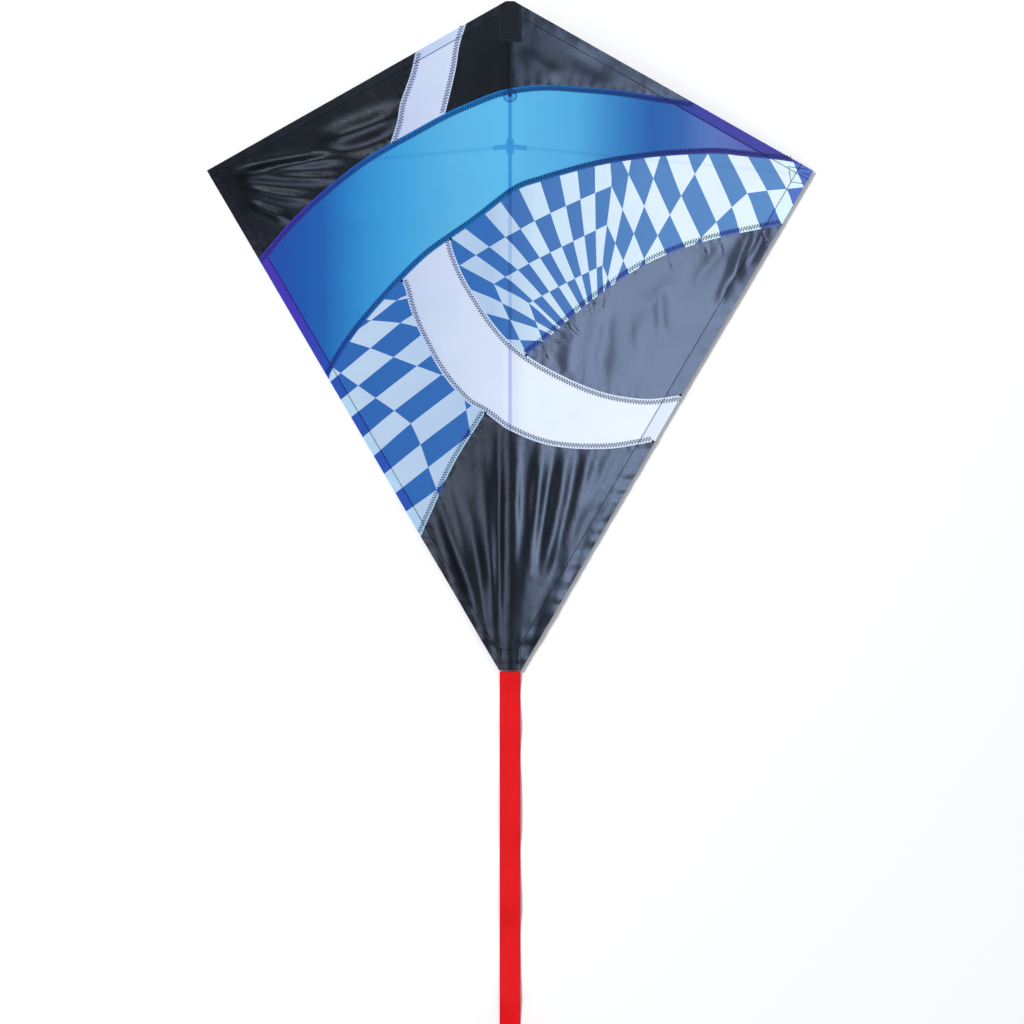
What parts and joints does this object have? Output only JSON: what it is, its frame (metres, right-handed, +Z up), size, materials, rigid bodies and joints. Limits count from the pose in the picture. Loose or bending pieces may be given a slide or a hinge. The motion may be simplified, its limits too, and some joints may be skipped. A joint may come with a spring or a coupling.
{
  "type": "diamond kite",
  "caption": "Diamond kite with a pieced cloth sail on a spine and two swept spreaders, folding wings, a hinged centre fitting and a long ribbon tail.",
  "frame": {"origin": "middle of the footprint on the ground, under the kite as it lies face up with its tail run out", "axes": "+Z up, out of the front of the sail; +Y along the ground towards the nose; +X towards the right wing tip, seen from the front"},
  "size_m": [0.6964, 1.2086, 0.0724],
  "materials": {
    "sail_black": "coated black nylon, satin, creased",
    "sail_white": "white nylon, slightly see-through",
    "sail_sky": "sky blue nylon shading to royal blue and violet at the edges",
    "sail_checks": "white nylon with blue checks printed on it",
    "sail_slate": "grey to black nylon, satin",
    "webbing_black": "woven black webbing and folded black cloth",
    "patch_cloth": "self-adhesive reinforcing cloth behind the holes",
    "pocket_blue": "sewn nylon pocket",
    "fibreglass": "pultruded fibreglass rod, satin black",
    "vinyl": "soft black vinyl",
    "hub_plastic": "moulded black plastic",
    "ribbon_red": "plain red taffeta ribbon",
    "tie_red": "narrow red tape"
  },
  "bodies": {
    "spine": {"spine_rod": "fibreglass", "nose_cap": "vinyl", "foot_cap": "vinyl", "nose_pocket": "webbing_black", "foot_pocket": "webbing_black", "stop_ring_nose": "vinyl", "stop_ring_foot": "vinyl"},
    "left_wing": {"sail_upper_left": "sail_black", "sail_stripe": "sail_white", "sail_upper_right_inner": "sail_black", "sail_band_left": "sail_sky", "sail_checks_upper_inner": "sail_checks", "sail_hook_left": "sail_white", "sail_checks_lower": "sail_checks", "sail_foot_left": "sail_black", "hub_arm_left": "hub_plastic", "spreader_rod_left": "fibreglass", "tip_cap_left": "vinyl", "wing_pocket_left": "pocket_blue", "tow_patch_left": "patch_cloth", "foot_patch_left": "patch_cloth", "nose_webbing_left": "webbing_black", "foot_facing_left": "webbing_black"},
    "right_wing": {"sail_upper_right": "sail_black", "sail_band_right": "sail_sky", "sail_checks_upper": "sail_checks", "sail_hook_right": "sail_white", "sail_slate": "sail_slate", "sail_foot_right": "sail_black", "hub_arm_right": "hub_plastic", "spreader_rod_right": "fibreglass", "tip_cap_right": "vinyl", "wing_pocket_right": "pocket_blue", "tow_patch_right": "patch_cloth", "foot_patch_right": "patch_cloth", "nose_webbing_right": "webbing_black", "foot_facing_right": "webbing_black"},
    "tail": {"tail_ribbon": "ribbon_red", "tail_roll": "ribbon_red", "tail_tie": "tie_red"}
  },
  "joints": [
    {"name": "left_wing_fold", "type": "hinge", "parent": "spine", "child": "left_wing", "pos_m": [0, 0.44167, 0.05312], "axis": [0, -0.9966, -0.083], "range_deg": [0, 40]},
    {"name": "right_wing_fold", "type": "hinge", "parent": "spine", "child": "right_wing", "pos_m": [0, 0.44167, 0.05312], "axis": [0, 0.9966, 0.083], "range_deg": [0, 40]},
    {"name": "tail_swing", "type": "hinge", "parent": "spine", "child": "tail", "pos_m": [0, -0.15607, 0.00346], "axis": [1, 0, 0], "range_deg": [-80, 80]}
  ]
}
